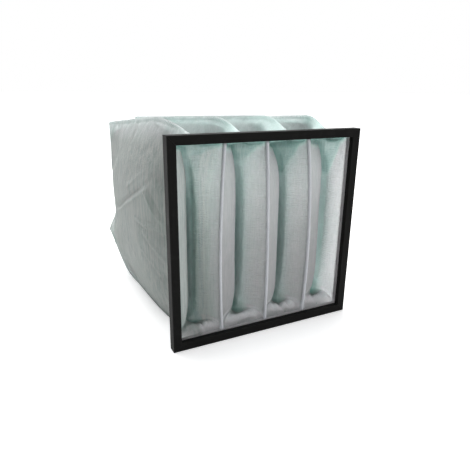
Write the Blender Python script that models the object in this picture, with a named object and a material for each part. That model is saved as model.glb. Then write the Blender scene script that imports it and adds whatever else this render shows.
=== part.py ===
# Bag air filter: four fabric pockets clamped in a black, mitred header frame.
# Each pocket is two panels, welded along their top, bottom and rear edges.
# Metres, +Z up. Air enters the mouths from -Y and leaves through the pocket walls.
# The origin is the middle of the header's underside, half way through its depth.

import math

import bmesh
import bpy
from mathutils import Matrix, Vector

# Header frame
FRAME_WIDTH = 0.490
FRAME_HEIGHT = 0.490
FRAME_DEPTH = 0.025
FACE_WIDTH = 0.020  # from the outer edge to the clear opening, seen from the front
CHAMBER_DEPTH = 0.0135  # hollow front chamber of each rail
RAIL_WALL = 0.0018
RAIL_EDGE_RADIUS = 0.0009
HOOK_DEPTH = 0.0015  # lip along the rail's rear edge that the clamp strip snaps under
HOOK_REACH = 0.0015
CLEARANCE = 0.0003  # between neighbouring pieces

# Clamp strips, which press the fabric against the chamber from behind
STRIP_WALL = 0.0015
SLOT_DEPTH = 0.0022  # room for the fabric between chamber and strip

# Corner keys inside the mitred rails
KEY_REACH = 0.018  # length of each leg past the corner block
BARB_COUNT = 3
BARB_HEIGHT = 0.0008

# Pockets
POCKET_COUNT = 4
POCKET_DEPTH = 0.610  # from the front of the fabric's lip to the rear seam's edge
MEDIA_THICKNESS = 0.0040
EDGE_THICKNESS = 0.0012  # where the fabric is pressed flat
LIP_REACH = 0.010  # how far the lip enters the slot between chamber and strip
THROAT_BEHIND_HEADER = 0.030
THROAT_HALF_WIDTH = 0.015
BELLY_BEHIND_HEADER = 0.235
BELLY_HALF_WIDTH = 0.042
TAIL_HALF_WIDTH = 0.0055
CROWN_RISE = 0.045  # above the clear opening
TAIL_FALL = 0.034  # of the top seam, from the crown to the rear edge
FLOOR_GAP = 0.0010  # between the bottom seams and what the filter stands on
LENS_FULLNESS = 2.5  # power of the rounded cross-section
SHOULDER_LENGTH = 0.080  # extra length in which a wall turns in near its bottom
SHOULDER_POWER = 5  # the higher, the shorter the stretch of wall that this takes
SEAM_HEIGHT = 0.009  # flat welded edges along the top, the bottom and the rear
SEAM_HALF_THICKNESS = 0.0015
ROUNDING_LENGTH = 0.008  # in which the tail rounds off before its seam

# Each pocket hangs a little differently.
# throat: how far its throat stands aside
# shoulder: extra length in which its walls turn in near the top
# lean, drift: sideways, just behind the throat and on towards the rear
# crown: distance behind the header at which its top seam is highest
# sag: extra fall of the top seam from there to the rear edge
# corner, lift, kink: length of its lower rear corner, and how far that stands up and out
POCKET_HANG = (
    {
        "throat": 0.003,
        "shoulder": 0.110,
        "lean": -0.037,
        "drift": -0.020,
        "crown": 0.165,
        "sag": 0.010,
        "corner": 0.230,
        "lift": 0.115,
        "kink": -0.026,
    },
    {
        "throat": 0.008,
        "shoulder": 0.150,
        "lean": -0.012,
        "drift": -0.074,
        "crown": 0.140,
        "sag": -0.005,
        "corner": 0.110,
        "lift": 0.035,
        "kink": -0.008,
    },
    {
        "throat": 0.012,
        "shoulder": 0.240,
        "lean": -0.005,
        "drift": -0.060,
        "crown": 0.120,
        "sag": -0.005,
        "corner": 0.120,
        "lift": 0.030,
        "kink": 0.006,
    },
    {
        "throat": 0.023,
        "shoulder": 0.150,
        "lean": 0.000,
        "drift": -0.045,
        "crown": 0.108,
        "sag": 0.002,
        "corner": 0.110,
        "lift": 0.040,
        "kink": -0.006,
    },
)
LEAN_LENGTH = 0.080
DRIFT_POWER = 1.2  # over 1: the drift grows towards the rear
KINK_START = 0.061  # below mid height, where the kink of the lower rear corner begins
KINK_HEIGHT = 0.075  # height over which it grows

# Folded strips that bind two neighbouring pocket edges. Each line leans and bows a little.
DIVIDER_SHAPE = (
    {"lean": 0.003, "bow": -0.007},
    {"lean": -0.005, "bow": 0.005},
    {"lean": -0.006, "bow": 0.012},
)
BINDING_DEPTH = 0.008
BINDING_THICKNESS = 0.0008

# Fineness of the meshes
ARC_STEPS = 3
WALL_STEPS = 8  # along the upright stretch of a pocket wall
RUN_STEPS = 4  # from a mouth's corner to its seam
FUNNEL_RING = 0.45  # share of the way from the header to the throat
BELLY_RINGS = (0.12, 0.27, 0.45, 0.7, 1)  # shares of the way from the throat to the belly
TAIL_RINGS = (0.3, 0.55, 0.75, 0.88, 1)  # shares of the way from the belly to the rounding
ROUNDING_RING = 0.8  # share of the tail's rounding
SMOOTH_ANGLE = math.radians(50)
WELD = 0.000001

SIDE_NAMES = {-1: "left", 1: "right"}

# Sizes that follow from the ones above
OPENING_WIDTH = FRAME_WIDTH - 2 * FACE_WIDTH
OPENING_HEIGHT = FRAME_HEIGHT - 2 * FACE_WIDTH
POCKET_PITCH = OPENING_WIDTH / POCKET_COUNT
FRONT = -FRAME_DEPTH / 2
REAR = FRAME_DEPTH / 2
MIDDLE_HEIGHT = FRAME_HEIGHT / 2
LIP_FRONT = FRONT + CHAMBER_DEPTH + CLEARANCE
NECK = REAR - LIP_FRONT  # length of pocket inside the header
TURN = BINDING_DEPTH + CLEARANCE  # depth at which the walls start to turn in
THROAT = NECK + THROAT_BEHIND_HEADER
BELLY = NECK + BELLY_BEHIND_HEADER
TAIL_END = POCKET_DEPTH - SEAM_HEIGHT
ROUNDING = TAIL_END - ROUNDING_LENGTH
MOUTH_HALF_HEIGHT = OPENING_HEIGHT / 2 - CLEARANCE
PANEL_HALF_HEIGHT = MOUTH_HALF_HEIGHT + POCKET_PITCH / 2
CORNER_SHARE = MOUTH_HALF_HEIGHT / PANEL_HALF_HEIGHT
SEAM_SHARE = 1 - SEAM_HEIGHT / PANEL_HALF_HEIGHT
MITRE_GAP = CLEARANCE / math.sqrt(2)


def clear_scene():
    for item in list(bpy.data.objects):
        bpy.data.objects.remove(item, do_unlink=True)


def ease(value):
    # Smooth step from 0 to 1.
    value = min(max(value, 0), 1)
    return value * value * (3 - 2 * value)


def mix(start, end, share):
    return start + (end - start) * share


def rounded(corners):
    # Outline of right-angled corners (x, y, radius). A radius of 0 keeps a corner sharp.
    points = []
    for index, (x, y, radius) in enumerate(corners):
        here = Vector((x, y))
        if radius == 0:
            points.append(here)
            continue
        before = (Vector(corners[index - 1][:2]) - here).normalized() * radius
        after = (Vector(corners[(index + 1) % len(corners)][:2]) - here).normalized() * radius
        centre = here + before + after
        for step in range(ARC_STEPS + 1):
            angle = math.pi / 2 * step / ARC_STEPS
            points.append(centre - after * math.cos(angle) - before * math.sin(angle))
    return points


def extruded_mesh(name, outlines, half_length):
    # Solid between flat outlines, which lie in XY. The first is the outside, the rest are holes.
    curve = bpy.data.curves.new(name + "_section", "CURVE")
    curve.dimensions = "2D"
    curve.fill_mode = "BOTH"
    curve.extrude = half_length
    for outline in outlines:
        spline = curve.splines.new("POLY")
        spline.points.add(len(outline) - 1)
        for point, corner in zip(spline.points, outline):
            point.co = (corner.x, corner.y, 0, 1)
        spline.use_cyclic_u = True
    holder = bpy.data.objects.new(name + "_section", curve)
    bpy.context.scene.collection.objects.link(holder)
    graph = bpy.context.evaluated_depsgraph_get()
    mesh = bpy.data.meshes.new_from_object(holder.evaluated_get(graph))
    bpy.data.objects.remove(holder, do_unlink=True)
    mesh.name = name
    solid = bmesh.new()
    solid.from_mesh(mesh)
    bmesh.ops.remove_doubles(solid, verts=solid.verts, dist=WELD)
    bmesh.ops.recalc_face_normals(solid, faces=solid.faces)
    solid.to_mesh(mesh)
    solid.free()
    return mesh


def material(name, color, roughness):
    paint = bpy.data.materials.new(name)
    paint.use_nodes = True
    shader = paint.node_tree.nodes["Principled BSDF"]
    shader.inputs["Base Color"].default_value = (*color, 1)
    shader.inputs["Roughness"].default_value = roughness
    shader.inputs["Metallic"].default_value = 0
    return paint


def add_piece(name, mesh, paint, parent, collection, location=(0, 0, 0), turn=0.0):
    # turn is a rotation about Y, in radians.
    piece = bpy.data.objects.new(name, mesh)
    mesh.materials.clear()
    mesh.materials.append(paint)
    mesh.shade_smooth()
    mesh.set_sharp_from_angle(angle=SMOOTH_ANGLE)
    piece.location = location
    piece.rotation_euler = (0, turn, 0)
    piece.parent = parent
    collection.objects.link(piece)
    return piece


def rail_section():
    # (distance in from the outer edge, depth behind the front face) of one rail.
    inner_web = RAIL_WALL + HOOK_REACH
    hook_front = FRAME_DEPTH - HOOK_DEPTH
    outside = rounded(
        (
            (0, 0, RAIL_EDGE_RADIUS),
            (FACE_WIDTH, 0, RAIL_EDGE_RADIUS),
            (FACE_WIDTH, CHAMBER_DEPTH, 0),
            (RAIL_WALL, CHAMBER_DEPTH, 0),
            (RAIL_WALL, hook_front, 0),
            (inner_web, hook_front, 0),
            (inner_web, FRAME_DEPTH, 0),
            (0, FRAME_DEPTH, RAIL_EDGE_RADIUS),
        )
    )
    return [outside, box_outline(RAIL_WALL, FACE_WIDTH, 0, CHAMBER_DEPTH, RAIL_WALL)]


def strip_section():
    outer = RAIL_WALL + CLEARANCE
    front = CHAMBER_DEPTH + SLOT_DEPTH
    rebate = RAIL_WALL + HOOK_REACH + CLEARANCE
    shelf = FRAME_DEPTH - HOOK_DEPTH - CLEARANCE
    outside = rounded(
        (
            (outer, front, 0),
            (FACE_WIDTH, front, 0),
            (FACE_WIDTH, FRAME_DEPTH, RAIL_EDGE_RADIUS),
            (rebate, FRAME_DEPTH, 0),
            (rebate, shelf, 0),
            (outer, shelf, 0),
        )
    )
    return [outside, box_outline(rebate + STRIP_WALL, FACE_WIDTH, front, FRAME_DEPTH, STRIP_WALL)]


def box_outline(left, right, front, rear, wall):
    # Hollow of a chamber: left is the hollow's own side, the others are the chamber's outside.
    inner_right = right - wall
    inner_front = front + wall
    inner_rear = rear - wall
    return [
        Vector((left, inner_front)),
        Vector((inner_right, inner_front)),
        Vector((inner_right, inner_rear)),
        Vector((left, inner_rear)),
    ]


def mitred_mesh(name, section, length):
    # The section runs along X, its outer edge at Z = 0. Both ends are cut to 45 degrees by
    # sliding each corner of the section to the mitre plane.
    mesh = extruded_mesh(name, section, length / 2)
    mesh.transform(Matrix.Rotation(-math.pi / 2, 4, "Y"))
    mesh.transform(Matrix.Translation((0, FRONT, 0)))
    for vertex in mesh.vertices:
        reach = length / 2 - vertex.co.z - MITRE_GAP
        vertex.co.x = math.copysign(reach, vertex.co.x)
    return mesh


def build_header(parent, collection):
    plastic = material("header_plastic", (0.022, 0.022, 0.021), 0.45)
    strip_plastic = material("strip_plastic", (0.026, 0.026, 0.025), 0.5)
    half_width = FRAME_WIDTH / 2
    sides = (
        ("bottom", FRAME_WIDTH, (0, 0, 0), 0),
        ("left", FRAME_HEIGHT, (-half_width, 0, MIDDLE_HEIGHT), math.pi / 2),
        ("top", FRAME_WIDTH, (0, 0, FRAME_HEIGHT), math.pi),
        ("right", FRAME_HEIGHT, (half_width, 0, MIDDLE_HEIGHT), -math.pi / 2),
    )
    for side, length, place, turn in sides:
        rail = mitred_mesh(side + "_rail", rail_section(), length)
        add_piece(side + "_rail", rail, plastic, parent, collection, place, turn)
        strip = mitred_mesh(side + "_clamp_strip", strip_section(), length)
        add_piece(side + "_clamp_strip", strip, strip_plastic, parent, collection, place, turn)


def barbed_edge(level, sign):
    # Saw-toothed edge of one leg along +X at y = level, from the corner block to the leg's
    # end. The teeth stand out on the side that sign gives, and keep the leg from pulling out.
    pitch = KEY_REACH / (BARB_COUNT + 1)
    points = []
    for tooth in range(BARB_COUNT):
        root = FACE_WIDTH + tooth * pitch
        points.append(Vector((root, level)))
        points.append(Vector((root, level + sign * BARB_HEIGHT)))
    points.append(Vector((FACE_WIDTH + BARB_COUNT * pitch, level)))
    points.append(Vector((FACE_WIDTH + KEY_REACH, level)))
    return points


def key_outline():
    # L shape with its outer corner at the inside of the chamber's corner.
    low = RAIL_WALL + CLEARANCE
    high = FACE_WIDTH - RAIL_WALL - CLEARANCE
    base_low = low + BARB_HEIGHT
    base_high = high - BARB_HEIGHT
    under = barbed_edge(base_low, -1)
    over = barbed_edge(base_high, 1)
    half = [Vector((base_low, base_low))] + under + over[::-1]
    # The other leg is the same one seen across the diagonal.
    other = [Vector((point.y, point.x)) for point in (under + over[::-1])[::-1]]
    return half + [Vector((base_high, base_high))] + other


def build_corner_keys(parent, collection):
    nylon = material("key_nylon", (0.05, 0.05, 0.05), 0.55)
    front = RAIL_WALL + CLEARANCE
    rear = CHAMBER_DEPTH - RAIL_WALL - CLEARANCE
    half_width = FRAME_WIDTH / 2
    corners = (
        ("bottom_left", -half_width, 0, 0),
        ("top_left", -half_width, FRAME_HEIGHT, math.pi / 2),
        ("top_right", half_width, FRAME_HEIGHT, math.pi),
        ("bottom_right", half_width, 0, -math.pi / 2),
    )
    for corner, x, z, turn in corners:
        name = "corner_key_" + corner
        mesh = extruded_mesh(name, [key_outline()], (rear - front) / 2)
        mesh.transform(Matrix.Rotation(math.pi / 2, 4, "X"))
        place = (x, FRONT + (front + rear) / 2, z)
        add_piece(name, mesh, nylon, parent, collection, place, turn)


def divider_x(number, height):
    # Where the divider between pockets number and number + 1 runs, height being measured
    # from the header's middle. The lines beyond the shape table are straight.
    line = -OPENING_WIDTH / 2 + (number + 1) * POCKET_PITCH
    if number < len(DIVIDER_SHAPE):
        shape = DIVIDER_SHAPE[number]
        share = height / MOUTH_HALF_HEIGHT
        line += shape["lean"] * share + shape["bow"] * (1 - share * share)
    return line


def mouth_x(number, side, height):
    # Outer face of a pocket's wall inside the header, on the left (-1) or the right (+1).
    if side < 0 and number == 0:
        return -OPENING_WIDTH / 2 + CLEARANCE
    if side > 0 and number == POCKET_COUNT - 1:
        return OPENING_WIDTH / 2 - CLEARANCE
    divider = number if side > 0 else number - 1
    return divider_x(divider, height) - side * CLEARANCE / 2


def mouth_point(number, side, share, inset):
    # share runs from +1 at the top seam to -1 at the bottom seam along one panel.
    half_height = MOUTH_HALF_HEIGHT - inset
    middle = (mouth_x(number, -1, 0) + mouth_x(number, 1, 0) + side * CLEARANCE) / 2
    if abs(share) <= CORNER_SHARE:
        height = share / CORNER_SHARE * half_height
        return mouth_x(number, side, height) - side * inset, height
    height = math.copysign(half_height, share)
    corner = mouth_x(number, side, height) - side * inset
    run = (1 - abs(share)) / (1 - CORNER_SHARE)
    return mix(middle, corner, run), height


def hang_of(number):
    return POCKET_HANG[number % len(POCKET_HANG)]


def half_width_at(depth):
    # Even in the throat, widest at the belly, flat towards the tail, which is rounded off.
    if depth < THROAT:
        return THROAT_HALF_WIDTH
    if depth < BELLY:
        swell = math.sin(math.pi / 2 * (depth - THROAT) / (BELLY - THROAT))
        return mix(THROAT_HALF_WIDTH, BELLY_HALF_WIDTH, swell)
    if depth < ROUNDING:
        swell = math.cos(math.pi / 2 * (depth - BELLY) / (ROUNDING - BELLY))
        return mix(TAIL_HALF_WIDTH, BELLY_HALF_WIDTH, swell)
    return TAIL_HALF_WIDTH * math.sqrt(max(TAIL_END - depth, 0) / ROUNDING_LENGTH)


def top_at(number, depth):
    hang = hang_of(number)
    crown = NECK + hang["crown"]
    fall = TAIL_FALL + hang["sag"]
    return OPENING_HEIGHT / 2 + CROWN_RISE - fall * max(depth - crown, 0) / (POCKET_DEPTH - crown)


def bottom_at(number, depth):
    hang = hang_of(number)
    rise = ease((depth - POCKET_DEPTH + hang["corner"]) / hang["corner"])
    return -MIDDLE_HEIGHT + FLOOR_GAP + hang["lift"] * rise * rise


def centre_x(number, depth, height):
    hang = hang_of(number)
    start = -OPENING_WIDTH / 2 + (number + 0.5) * POCKET_PITCH
    behind = max(depth - NECK, 0)
    lean = hang["lean"] * (1 - math.exp(-behind / LEAN_LENGTH))
    drift = hang["drift"] * (behind / (POCKET_DEPTH - NECK)) ** DRIFT_POWER
    low = ease((-height - KINK_START) / KINK_HEIGHT)
    kink = hang["kink"] * low * ease((depth - POCKET_DEPTH + hang["corner"]) / hang["corner"])
    aside = hang["throat"] * ease(depth / THROAT) * (1 - ease((depth - THROAT) / (BELLY - THROAT)))
    return start + lean + drift + kink + aside


def lens_point(number, side, share, depth, inner):
    # Cross-section of a panel behind the header: bowed, with flat edges that are welded to
    # the other panel's. The inner face bows less, and starts inside of the flat edges.
    top = top_at(number, depth)
    bottom = bottom_at(number, depth)
    half_width = half_width_at(depth)
    half_height = (top - bottom) / 2
    swell = 1 - min(abs(share) / SEAM_SHARE, 1) ** LENS_FULLNESS
    out = max(half_width * swell, SEAM_HALF_THICKNESS)
    rise = share * half_height
    if inner:
        wall = wall_thickness(depth)
        out = max((half_width - wall) * swell, CLEARANCE / 2)
        if abs(share) <= SEAM_SHARE and depth < TAIL_END:
            narrowing = (1 - wall / half_width) ** (1 / LENS_FULLNESS)
            rise = share / SEAM_SHARE * (half_height - SEAM_HEIGHT) * narrowing
    height = (top + bottom) / 2 + rise
    return centre_x(number, depth, height) + side * out, height


def wall_thickness(depth):
    # Pressed flat in the binding, then swelling to full. It stays under half of the pocket's
    # half width, so that some hollow remains towards the rear.
    full = mix(EDGE_THICKNESS, MEDIA_THICKNESS, ease((depth - TURN) / NECK))
    return min(full, half_width_at(depth) / 2)


def pocket_point(number, side, share, depth, inner):
    hang = hang_of(number)
    inset = wall_thickness(depth) if inner else 0
    mouth_across, mouth_height = mouth_point(number, side, share, inset)
    lens_across, lens_height = lens_point(number, side, share, depth, inner)
    rise = math.sin(math.pi / 2 * min(max(depth - NECK, 0) / hang["crown"], 1))
    # The walls turn in just behind the bindings, soonest at mid height.
    shoulder = hang["shoulder"] if share > 0 else SHOULDER_LENGTH
    closing_length = THROAT - TURN + shoulder * abs(share) ** SHOULDER_POWER
    closing = ease((depth - TURN) / closing_length)
    across = mix(mouth_across, lens_across, closing)
    height = mix(mouth_height, lens_height, rise)
    return Vector((across, LIP_FRONT + depth, MIDDLE_HEIGHT + height))


def panel_stops():
    # (share, place) down one panel. A corner is met three times, once for each of the two
    # lips that meet there and once for the point between them.
    run = [(mix(SEAM_SHARE, CORNER_SHARE, step / RUN_STEPS), "edge") for step in range(RUN_STEPS)]
    corner = [(CORNER_SHARE, "edge"), (CORNER_SHARE, "corner"), (CORNER_SHARE, "wall")]
    wall = [(CORNER_SHARE * (1 - 2 * step / WALL_STEPS), "wall") for step in range(1, WALL_STEPS)]
    upper = [(1, "edge")] + run + corner
    lower = [(-share, place) for share, place in reversed(upper)]
    return upper + wall + lower


def lip_offset(number, side, share, place):
    # How far the lip reaches outwards from a point of the mouth, across and up.
    framed = (side < 0 and number == 0) or (side > 0 and number == POCKET_COUNT - 1)
    across = side * LIP_REACH if framed and place != "edge" else 0
    up = math.copysign(LIP_REACH, share) if place != "wall" else 0
    return Vector((across, 0, up))


def ring_depths():
    # Depths of the rings, close together where the walls turn.
    front = [TURN, NECK, mix(NECK, THROAT, FUNNEL_RING), THROAT]
    middle = [mix(THROAT, BELLY, share) for share in BELLY_RINGS]
    rear = [mix(BELLY, ROUNDING, share) for share in TAIL_RINGS]
    return front + middle + rear + [mix(ROUNDING, TAIL_END, ROUNDING_RING), TAIL_END, POCKET_DEPTH]


def panel_mesh(number, side):
    # One panel of a pocket. Its lines run from the rear forward on the inner face, round the
    # lip, and back on the outer face.
    stops = panel_stops()
    depths = ring_depths()
    inner = [[pocket_point(number, side, share, depth, True) for share, place in stops] for depth in depths]
    outer = [[pocket_point(number, side, share, depth, False) for share, place in stops] for depth in depths]
    mouth = [pocket_point(number, side, share, 0, True) for share, place in stops]
    lip_front = []
    lip_rear = []
    lip_root = []
    for share, place in stops:
        edge = pocket_point(number, side, share, 0, False)
        lip = lip_offset(number, side, share, place)
        thick = EDGE_THICKNESS if lip.length > 0 else EDGE_THICKNESS / 2
        lip_front.append(edge + lip)
        lip_rear.append(edge + lip + Vector((0, thick, 0)))
        lip_root.append(edge + Vector((0, EDGE_THICKNESS, 0)))
    lines = inner[::-1] + [mouth, lip_front, lip_rear, lip_root] + outer
    return lofted_mesh("pocket_%d_%s" % (number + 1, SIDE_NAMES[side]), lines, len(depths) - 1)


def lofted_mesh(name, lines, paired):
    # Closed skin over lines of equal point counts. The last line joins the first one, and the
    # open ends are closed between each of the first lines and its partner counted from the
    # last, paired times, and by one face round the rest. Points that coincide are welded.
    skin = bmesh.new()
    rows = [[skin.verts.new(point) for point in line] for line in lines]
    for row, following in zip(rows, rows[1:] + rows[:1]):
        for index in range(len(row) - 1):
            skin.faces.new((row[index], row[index + 1], following[index + 1], following[index]))
    for end in (0, -1):
        edge = [row[end] for row in rows]
        for step in range(paired):
            skin.faces.new((edge[step], edge[step + 1], edge[-2 - step], edge[-1 - step]))
        skin.faces.new(edge[paired:len(edge) - paired])
    bmesh.ops.remove_doubles(skin, verts=skin.verts, dist=WELD)
    bmesh.ops.dissolve_degenerate(skin, edges=skin.edges, dist=WELD)
    bmesh.ops.triangulate(skin, faces=skin.faces)
    bmesh.ops.recalc_face_normals(skin, faces=skin.faces)
    mesh = bpy.data.meshes.new(name)
    skin.to_mesh(mesh)
    skin.free()
    return mesh


def binding_mesh(number):
    # U section over both edges, extruded upright and bowed along the divider.
    inner = CLEARANCE / 2 + EDGE_THICKNESS + CLEARANCE
    outer = inner + BINDING_THICKNESS
    nose = LIP_FRONT - CLEARANCE - BINDING_THICKNESS
    rear = LIP_FRONT + BINDING_DEPTH
    corners = (
        (-outer, nose, outer / 2),
        (outer, nose, outer / 2),
        (outer, rear, 0),
        (inner, rear, 0),
        (inner, nose + BINDING_THICKNESS, 0),
        (-inner, nose + BINDING_THICKNESS, 0),
        (-inner, rear, 0),
        (-outer, rear, 0),
    )
    half_height = MOUTH_HALF_HEIGHT - EDGE_THICKNESS - CLEARANCE
    name = "seam_binding_" + str(number + 1)
    mesh = extruded_mesh(name, [rounded(corners)], half_height)
    solid = bmesh.new()
    solid.from_mesh(mesh)
    for step in range(1, WALL_STEPS):
        level = half_height * (1 - 2 * step / WALL_STEPS)
        geometry = solid.verts[:] + solid.edges[:] + solid.faces[:]
        bmesh.ops.bisect_plane(solid, geom=geometry, dist=WELD, plane_co=(0, 0, level), plane_no=(0, 0, 1))
    for vertex in solid.verts:
        vertex.co.x += divider_x(number, vertex.co.z)
        vertex.co.z += MIDDLE_HEIGHT
    solid.to_mesh(mesh)
    solid.free()
    return mesh


def build_pockets(parent, collection):
    fabric = material("pocket_fabric", (0.66, 0.78, 0.74), 0.95)
    binding = material("binding_fabric", (0.80, 0.81, 0.82), 0.9)
    for number in range(POCKET_COUNT):
        for side in SIDE_NAMES:
            panel = panel_mesh(number, side)
            add_piece(panel.name, panel, fabric, parent, collection)
    for number in range(POCKET_COUNT - 1):
        add_piece("seam_binding_" + str(number + 1), binding_mesh(number), binding, parent, collection)


def main():
    clear_scene()
    collection = bpy.data.collections.new("bag_air_filter")
    bpy.context.scene.collection.children.link(collection)
    carrier = bpy.data.objects.new("filter_frame", None)
    collection.objects.link(carrier)
    build_header(carrier, collection)
    build_corner_keys(carrier, collection)
    build_pockets(carrier, collection)


main()
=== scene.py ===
# Looks of a bag air filter: four fabric pockets in a black plastic header.
# Metres, +Z up. The header stands on the floor at Z = 0 and its face looks along -Y.
import math
import bmesh
import bpy
from mathutils import Matrix, Vector, noise


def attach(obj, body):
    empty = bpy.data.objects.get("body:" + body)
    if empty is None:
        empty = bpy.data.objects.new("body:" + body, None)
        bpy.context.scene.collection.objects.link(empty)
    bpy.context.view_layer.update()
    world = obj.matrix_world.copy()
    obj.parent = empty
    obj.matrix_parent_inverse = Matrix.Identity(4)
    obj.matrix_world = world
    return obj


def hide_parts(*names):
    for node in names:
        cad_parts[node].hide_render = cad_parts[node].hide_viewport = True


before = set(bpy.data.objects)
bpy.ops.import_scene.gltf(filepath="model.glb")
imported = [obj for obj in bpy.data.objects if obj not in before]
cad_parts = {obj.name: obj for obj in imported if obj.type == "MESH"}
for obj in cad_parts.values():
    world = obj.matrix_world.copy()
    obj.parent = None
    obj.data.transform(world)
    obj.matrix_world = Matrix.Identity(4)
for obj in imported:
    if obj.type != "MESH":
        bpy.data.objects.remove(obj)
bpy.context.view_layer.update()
print("frame loaded:", len(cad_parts), "nodes")

header = {
    "width": 0.490,
    "height": 0.490,
    "depth": 0.025,
    "face": 0.020,  # width of the rails seen from the front
    "chamber": 0.0135,  # depth of the rails' front chamber
    "clearance": 0.0003,
}
openingWidth = header["width"] - 2 * header["face"]
openingHeight = header["height"] - 2 * header["face"]
middleHeight = header["height"] / 2
frontY = -header["depth"] / 2
rearY = header["depth"] / 2


# small helpers

def ease(value, start=0, span=1):
    # 0 up to the start, 1 from a span later on, smooth between
    value = min(max((value - start) / span, 0), 1)
    return value * value * (3 - 2 * value)


def mix(start, end, share):
    return start + (end - start) * share


def bump(value, centre, width):
    # smooth hill of height 1
    return math.exp(-((value - centre) / width) ** 2)


def finishPiece(piece, material, cadNodes):
    piece.data.materials.clear()
    piece.data.materials.append(material)
    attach(piece, "root")
    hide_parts(*cadNodes)


def addMesh(name, mesh):
    piece = bpy.data.objects.new(name, mesh)
    bpy.context.scene.collection.objects.link(piece)
    return piece


# materials

shaderSockets = {
    "roughness": "Roughness",
    "specular": "Specular IOR Level",
    "sheen": "Sheen Weight",
    "sheenRoughness": "Sheen Roughness",
    "scatter": "Subsurface Weight",
    "scatterScale": "Subsurface Scale",
}


class Nodes:
    # a node tree with short calls for adding and linking

    def __init__(self, name):
        self.material = bpy.data.materials.new(name)
        self.material.use_nodes = True
        self.tree = self.material.node_tree
        self.shader = self.tree.nodes["Principled BSDF"]

    def add(self, kind, **values):
        node = self.tree.nodes.new(kind)
        for key, value in values.items():
            setattr(node, key, value)
        return node

    def put(self, socket, value):
        if hasattr(value, "is_linked"):
            self.tree.links.new(value, socket)
        else:
            socket.default_value = value

    def objectPoint(self, scale=(1, 1, 1), turn=(0, 0, 0), place=(0, 0, 0)):
        point = self.add("ShaderNodeTexCoord").outputs["Object"]
        mapping = self.add("ShaderNodeMapping")
        mapping.inputs["Scale"].default_value = scale
        mapping.inputs["Rotation"].default_value = turn
        mapping.inputs["Location"].default_value = place
        self.put(mapping.inputs["Vector"], point)
        return mapping.outputs["Vector"]

    def noise(self, point, scale, detail=3.0, roughness=0.5, distortion=0.0):
        node = self.add("ShaderNodeTexNoise")
        self.put(node.inputs["Vector"], point)
        node.inputs["Scale"].default_value = scale
        node.inputs["Detail"].default_value = detail
        node.inputs["Roughness"].default_value = roughness
        node.inputs["Distortion"].default_value = distortion
        return node.outputs["Fac"]

    def sum(self, kind, first, second=0.0, clamp=False):
        node = self.add("ShaderNodeMath", operation=kind, use_clamp=clamp)
        for socket, value in zip(node.inputs, (first, second)):
            self.put(socket, value)
        return node.outputs[0]

    def span(self, value, low, high, start, end):
        node = self.add("ShaderNodeMapRange")
        for key, given in (("Value", value), ("From Min", low), ("From Max", high),
                           ("To Min", start), ("To Max", end)):
            self.put(node.inputs[key], given)
        return node.outputs["Result"]

    def blend(self, share, first, second, kind="MIX"):
        node = self.add("ShaderNodeMix", data_type="RGBA", blend_type=kind)
        self.put(node.inputs[0], share)
        for socket, value in ((node.inputs[6], first), (node.inputs[7], second)):
            self.put(socket, value if hasattr(value, "is_linked") else (*value, 1))
        return node.outputs[2]

    def tone(self, base, pattern, weight, reach, low, high):
        # colours a base by a pattern that swings by its reach to both sides of a half
        swing = self.span(pattern, 0.5 - reach, 0.5 + reach, 0, 1)
        return self.blend(weight, base, self.blend(swing, low, high), "MULTIPLY")

    def attribute(self, name):
        return self.add("ShaderNodeAttribute", attribute_name=name).outputs["Fac"]

    def relief(self, height, distance):
        node = self.add("ShaderNodeBump")
        node.inputs["Distance"].default_value = distance
        node.inputs["Strength"].default_value = 1.0
        self.put(node.inputs["Height"], height)
        self.tree.links.new(node.outputs["Normal"], self.shader.inputs["Normal"])

    def constants(self, **values):
        for key, value in values.items():
            self.shader.inputs[shaderSockets[key]].default_value = value


fabricLook = {
    # colours of the felt: pale and mint, then a painted light for the sill and a painted green glow for deep
    # in a pocket, then the grey and the dark green of its painted shade, and the seam
    "pale": (0.600, 0.583, 0.600),
    "mint": (0.570, 0.760, 0.715),
    "paintedLightPale": (0.880, 0.870, 0.900),
    "paintedDeepGreen": (0.680, 0.880, 0.850),
    "paintedShadeGrey": (0.345, 0.355, 0.342),
    "paintedShadeGreen": (0.150, 0.260, 0.240),
    "seam": (0.58, 0.63, 0.62),
    "seamWeight": 0.6,
    "fibreScale": 1500,
    "streakScale": 520,
    "draftScale": 170,
    "mottleScale": 34,
    "cloudScale": 7,
    # weight of each pattern, its reach about a half, and its low and high tone
    "mottle": (0.6, 0.20, (0.84, 0.90, 0.88), (1, 1, 1)),
    "clouds": (0.6, 0.20, (0.90, 0.93, 0.91), (1, 0.99, 1)),
    "streaks": (0.7, 0.15, (0.80, 0.82, 0.81), (1, 1, 1)),
    "fibres": (0.5, 0.15, (0.84, 0.85, 0.86), (1, 1, 1)),
    # reach and tones of the drafts, which weigh more where the painted shade lies
    "drafts": (0.14, (0.74, 0.83, 0.80), (1.08, 1.06, 1.05)),
    "draftWeight": 0.75,
    "leastShade": 0.25,
    "ribPitch": 0.0052,
    "ribWobble": 0.022,
    "dotPitch": 0.0060,
    "relief": 0.0014,
    "fibreRelief": 0.30,
    "reliefShares": (0.30, 0.12, 1.2, 1.0, 0.34, 0.35),  # streaks, drawn lines, drafts, mottle, ribs, dots
    "roughness": (0.88, 1.0),
    "scatterRadius": (0.90, 1.0, 0.98),
}


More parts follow.
